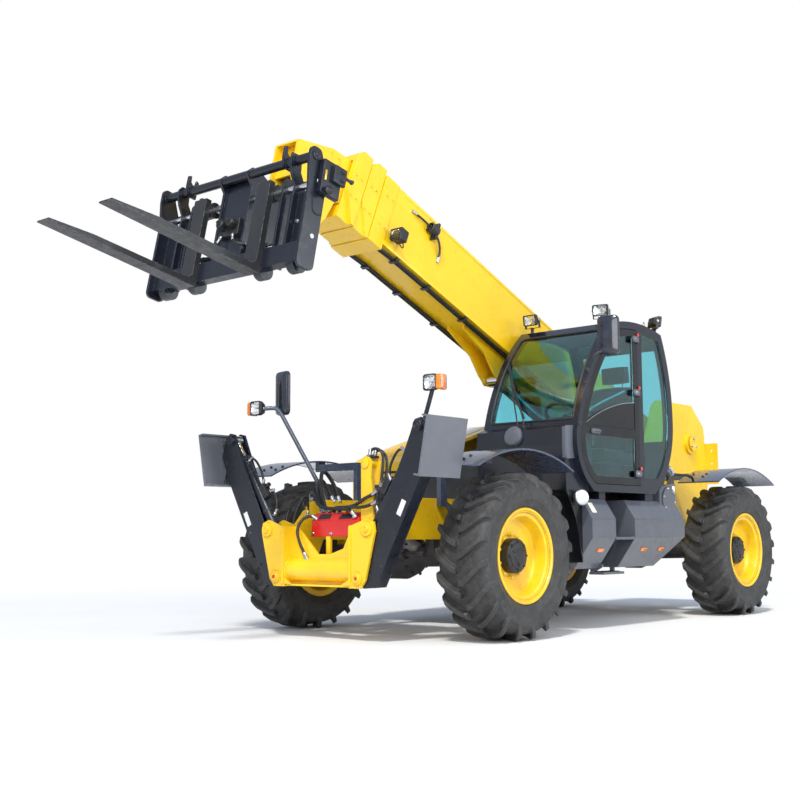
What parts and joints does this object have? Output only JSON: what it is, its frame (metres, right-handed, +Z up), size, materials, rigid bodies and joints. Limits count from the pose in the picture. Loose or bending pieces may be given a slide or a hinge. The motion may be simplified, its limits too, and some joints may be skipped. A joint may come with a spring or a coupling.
{
  "type": "telehandler",
  "caption": "Telescopic handler with a side cab, steered driven wheels, extending boom with pallet forks and folding outriggers.",
  "frame": {"origin": "middle of the bottom of the box at rest, on the ground", "axes": "+X forward, +Y to the machine's left where the cab is, +Z up"},
  "size_m": [7.5038, 2.5886, 3.5512],
  "materials": {
    "cast_dark": "matte",
    "glass": "gloss",
    "grey_paint": "satin",
    "pad_plastic": "matte",
    "plastic_black": "matte",
    "red_paint": "gloss",
    "seat_cloth": "matte",
    "shaft_steel": "satin",
    "steel_dark": "satin",
    "tyre_rubber": "matte",
    "yellow_paint": "gloss"
  },
  "bodies": {
    "chassis": {"frame_rails": "yellow_paint", "cross_members": "steel_dark", "platform_beams": "steel_dark", "front_frame": "yellow_paint", "sway_bracket": "yellow_paint", "manifold_cover": "red_paint", "fenders": "steel_dark", "side_tank": "grey_paint", "engine_pod": "grey_paint", "engine_block": "cast_dark", "rear_bumper": "steel_dark", "cab_shell": "steel_dark", "cab_glass": "glass", "cab_cowl": "steel_dark", "cab_seat": "seat_cloth", "cab_console": "plastic_black", "cab_lamps": "plastic_black", "head_lamps": "plastic_black", "mirrors": "plastic_black", "front_axle": "cast_dark", "rear_axle": "cast_dark"},
    "hood": {"engine_hood": "yellow_paint"},
    "cab_door": {"door_frame": "steel_dark", "door_glass": "glass"},
    "boom": {"boom_base": "yellow_paint", "slide_pads_base": "pad_plastic", "boom_fittings": "plastic_black"},
    "boom_second": {"boom_second": "yellow_paint", "slide_pads_second": "pad_plastic"},
    "boom_third": {"boom_third": "yellow_paint", "slide_pads_third": "pad_plastic"},
    "boom_tip": {"boom_tip": "yellow_paint"},
    "lift_barrel": {"lift_barrel": "steel_dark"},
    "lift_rod": {"lift_rod": "shaft_steel"},
    "tilt_barrel": {"tilt_barrel": "steel_dark"},
    "tilt_rod": {"tilt_rod": "shaft_steel"},
    "fork_carriage": {"fork_carriage": "steel_dark", "fork_shaft": "shaft_steel", "forks": "cast_dark"},
    "leg_left": {"leg_left": "steel_dark"},
    "leg_barrel_left": {"leg_barrel_left": "steel_dark"},
    "leg_rod_left": {"leg_rod_left": "shaft_steel"},
    "foot_pad_left": {"foot_pad_left": "grey_paint"},
    "leg_right": {"leg_right": "steel_dark"},
    "leg_barrel_right": {"leg_barrel_right": "steel_dark"},
    "leg_rod_right": {"leg_rod_right": "shaft_steel"},
    "foot_pad_right": {"foot_pad_right": "grey_paint"},
    "knuckle_fl": {"knuckle_fl": "cast_dark"},
    "wheel_fl": {"rim_fl": "yellow_paint", "tyre_fl": "tyre_rubber"},
    "knuckle_fr": {"knuckle_fr": "cast_dark"},
    "wheel_fr": {"rim_fr": "yellow_paint", "tyre_fr": "tyre_rubber"},
    "knuckle_rl": {"knuckle_rl": "cast_dark"},
    "wheel_rl": {"rim_rl": "yellow_paint", "tyre_rl": "tyre_rubber"},
    "knuckle_rr": {"knuckle_rr": "cast_dark"},
    "wheel_rr": {"rim_rr": "yellow_paint", "tyre_rr": "tyre_rubber"}
  },
  "joints": [
    {"name": "boom_lift", "type": "hinge", "parent": "chassis", "child": "boom", "pos_m": [-3.13186, -0.09429, 1.62], "axis": [0, -1, 0], "range_deg": [-24, 46]},
    {"name": "boom_extend", "type": "slide", "parent": "boom", "child": "boom_second", "axis": [0.9272, 0, 0.3746], "range_m": [0, 3.3]},
    {"name": "third_extend", "type": "slide", "parent": "boom_second", "child": "boom_third", "axis": [0.9272, 0, 0.3746], "range_m": [0, 3.3]},
    {"name": "tip_extend", "type": "slide", "parent": "boom_third", "child": "boom_tip", "axis": [0.9272, 0, 0.3746], "range_m": [0, 3.3]},
    {"name": "lift_cylinder_swing", "type": "hinge", "parent": "chassis", "child": "lift_barrel", "pos_m": [-2.78186, -0.09429, 1], "axis": [0, -1, 0], "range_deg": [-23.92, 45.4]},
    {"name": "lift_cylinder_stroke", "type": "slide", "parent": "lift_barrel", "child": "lift_rod", "axis": [0.9141, 0, 0.4055], "range_m": [-0.2872, 0.5468]},
    {"name": "carriage_tilt", "type": "hinge", "parent": "boom_tip", "child": "fork_carriage", "pos_m": [2.21728, -0.09429, 2.69942], "axis": [0, 1, 0], "range_deg": [-12, 95]},
    {"name": "tilt_cylinder_swing", "type": "hinge", "parent": "boom_tip", "child": "tilt_barrel", "pos_m": [1.60839, -0.09429, 3.39498], "axis": [0, 1, 0], "range_deg": [-1.86, 11.26]},
    {"name": "tilt_cylinder_stroke", "type": "slide", "parent": "tilt_barrel", "child": "tilt_rod", "axis": [0.8595, 0, -0.5112], "range_m": [-0.05496, 0.40742]},
    {"name": "leg_swing_left", "type": "hinge", "parent": "chassis", "child": "leg_left", "pos_m": [1.63064, 0.30871, 0.44], "axis": [-1, 0, 0], "range_deg": [0, 78]},
    {"name": "leg_cylinder_swing_left", "type": "hinge", "parent": "chassis", "child": "leg_barrel_left", "pos_m": [1.63064, 0.39571, 0.776], "axis": [-1, 0, 0], "range_deg": [-0.5, 89.79]},
    {"name": "leg_cylinder_stroke_left", "type": "slide", "parent": "leg_barrel_left", "child": "leg_rod_left", "axis": [0, 0.5444, 0.8388], "range_m": [-0.004, 0.39552]},
    {"name": "foot_pivot_left", "type": "hinge", "parent": "leg_left", "child": "foot_pad_left", "pos_m": [1.63064, 0.89675, 1.28955], "axis": [-1, 0, 0], "range_deg": [-20, 20]},
    {"name": "leg_swing_right", "type": "hinge", "parent": "chassis", "child": "leg_right", "pos_m": [1.63064, -0.49729, 0.44], "axis": [1, 0, 0], "range_deg": [0, 78]},
    {"name": "leg_cylinder_swing_right", "type": "hinge", "parent": "chassis", "child": "leg_barrel_right", "pos_m": [1.63064, -0.58429, 0.776], "axis": [1, 0, 0], "range_deg": [-0.5, 89.79]},
    {"name": "leg_cylinder_stroke_right", "type": "slide", "parent": "leg_barrel_right", "child": "leg_rod_right", "axis": [0, -0.5444, 0.8388], "range_m": [-0.004, 0.39552]},
    {"name": "foot_pivot_right", "type": "hinge", "parent": "leg_right", "child": "foot_pad_right", "pos_m": [1.63064, -1.08533, 1.28955], "axis": [1, 0, 0], "range_deg": [-20, 20]},
    {"name": "steer_fl", "type": "hinge", "parent": "chassis", "child": "knuckle_fl", "pos_m": [0.81814, 0.75571, 0.58433], "axis": [0, 0, 1], "range_deg": [-35, 35]},
    {"name": "roll_fl", "type": "hinge", "parent": "knuckle_fl", "child": "wheel_fl", "pos_m": [0.81814, 0.90071, 0.58433], "axis": [0, 1, 0], "continuous": true},
    {"name": "steer_fr", "type": "hinge", "parent": "chassis", "child": "knuckle_fr", "pos_m": [0.81814, -0.94429, 0.58433], "axis": [0, 0, 1], "range_deg": [-35, 35]},
    {"name": "roll_fr", "type": "hinge", "parent": "knuckle_fr", "child": "wheel_fr", "pos_m": [0.81814, -1.08929, 0.58433], "axis": [0, 1, 0], "continuous": true},
    {"name": "steer_rl", "type": "hinge", "parent": "chassis", "child": "knuckle_rl", "pos_m": [-2.68186, 0.75571, 0.58433], "axis": [0, 0, 1], "range_deg": [-35, 35]},
    {"name": "roll_rl", "type": "hinge", "parent": "knuckle_rl", "child": "wheel_rl", "pos_m": [-2.68186, 0.90071, 0.58433], "axis": [0, 1, 0], "continuous": true},
    {"name": "steer_rr", "type": "hinge", "parent": "chassis", "child": "knuckle_rr", "pos_m": [-2.68186, -0.94429, 0.58433], "axis": [0, 0, 1], "range_deg": [-35, 35]},
    {"name": "roll_rr", "type": "hinge", "parent": "knuckle_rr", "child": "wheel_rr", "pos_m": [-2.68186, -1.08929, 0.58433], "axis": [0, 1, 0], "continuous": true},
    {"name": "door_hinge", "type": "hinge", "parent": "chassis", "child": "cab_door", "pos_m": [-0.81986, 1.06771, 1.7], "axis": [0, 0, 1], "range_deg": [0, 100]},
    {"name": "hood_hinge", "type": "hinge", "parent": "chassis", "child": "hood", "pos_m": [-0.93186, -0.51029, 1.71], "axis": [-1, 0, 0], "range_deg": [0, 55]}
  ],
  "couplings": [
    {"joint": "third_extend", "follows": "boom_extend", "ratio": 1},
    {"joint": "tip_extend", "follows": "boom_extend", "ratio": 1},
    {"joint": "lift_cylinder_swing", "follows": "boom_lift", "ratio": 0.976},
    {"joint": "lift_cylinder_stroke", "follows": "boom_lift", "m_per_rad": 0.67609},
    {"joint": "tilt_cylinder_swing", "follows": "carriage_tilt", "ratio": 0.11325},
    {"joint": "tilt_cylinder_stroke", "follows": "carriage_tilt", "m_per_rad": 0.2433},
    {"joint": "leg_cylinder_swing_left", "follows": "leg_swing_left", "ratio": 1.1448},
    {"joint": "leg_cylinder_stroke_left", "follows": "leg_swing_left", "m_per_rad": 0.2876},
    {"joint": "leg_cylinder_swing_right", "follows": "leg_swing_right", "ratio": 1.1448},
    {"joint": "leg_cylinder_stroke_right", "follows": "leg_swing_right", "m_per_rad": 0.2876},
    {"joint": "steer_fr", "follows": "steer_fl", "ratio": 1},
    {"joint": "steer_rr", "follows": "steer_rl", "ratio": 1}
  ]
}
